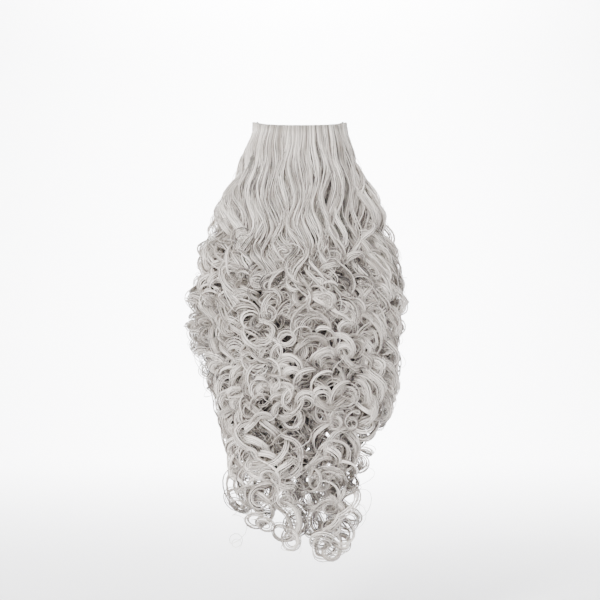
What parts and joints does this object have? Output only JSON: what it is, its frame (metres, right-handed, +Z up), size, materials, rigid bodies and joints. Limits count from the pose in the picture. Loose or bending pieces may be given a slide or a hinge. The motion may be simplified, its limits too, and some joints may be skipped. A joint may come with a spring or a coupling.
{
  "type": "fake beard",
  "caption": "Long curly silver-grey fake beard in layered falls of wavy locks on a fabric face base, with an elastic strap round the back of the head.",
  "frame": {"origin": "where the upper lip touches the inner side of the base, at the middle of its top edge", "axes": "+Z up, -Y the way the beard faces, +X to the wearer's left; the wearer's head is on the +Y side"},
  "size_m": [0.3693, 0.287, 0.7457],
  "materials": {
    "hair": "satin synthetic hair fibre",
    "base_fabric": "matt knitted wig fabric",
    "strap_elastic": "matt woven elastic"
  },
  "bodies": {
    "root": {"face_base": "base_fabric", "head_strap": "strap_elastic", "lip_fall": "hair", "cheek_fall_left": "hair", "cheek_fall_right": "hair", "chin_fall": "hair", "throat_fall": "hair"}
  },
  "joints": []
}
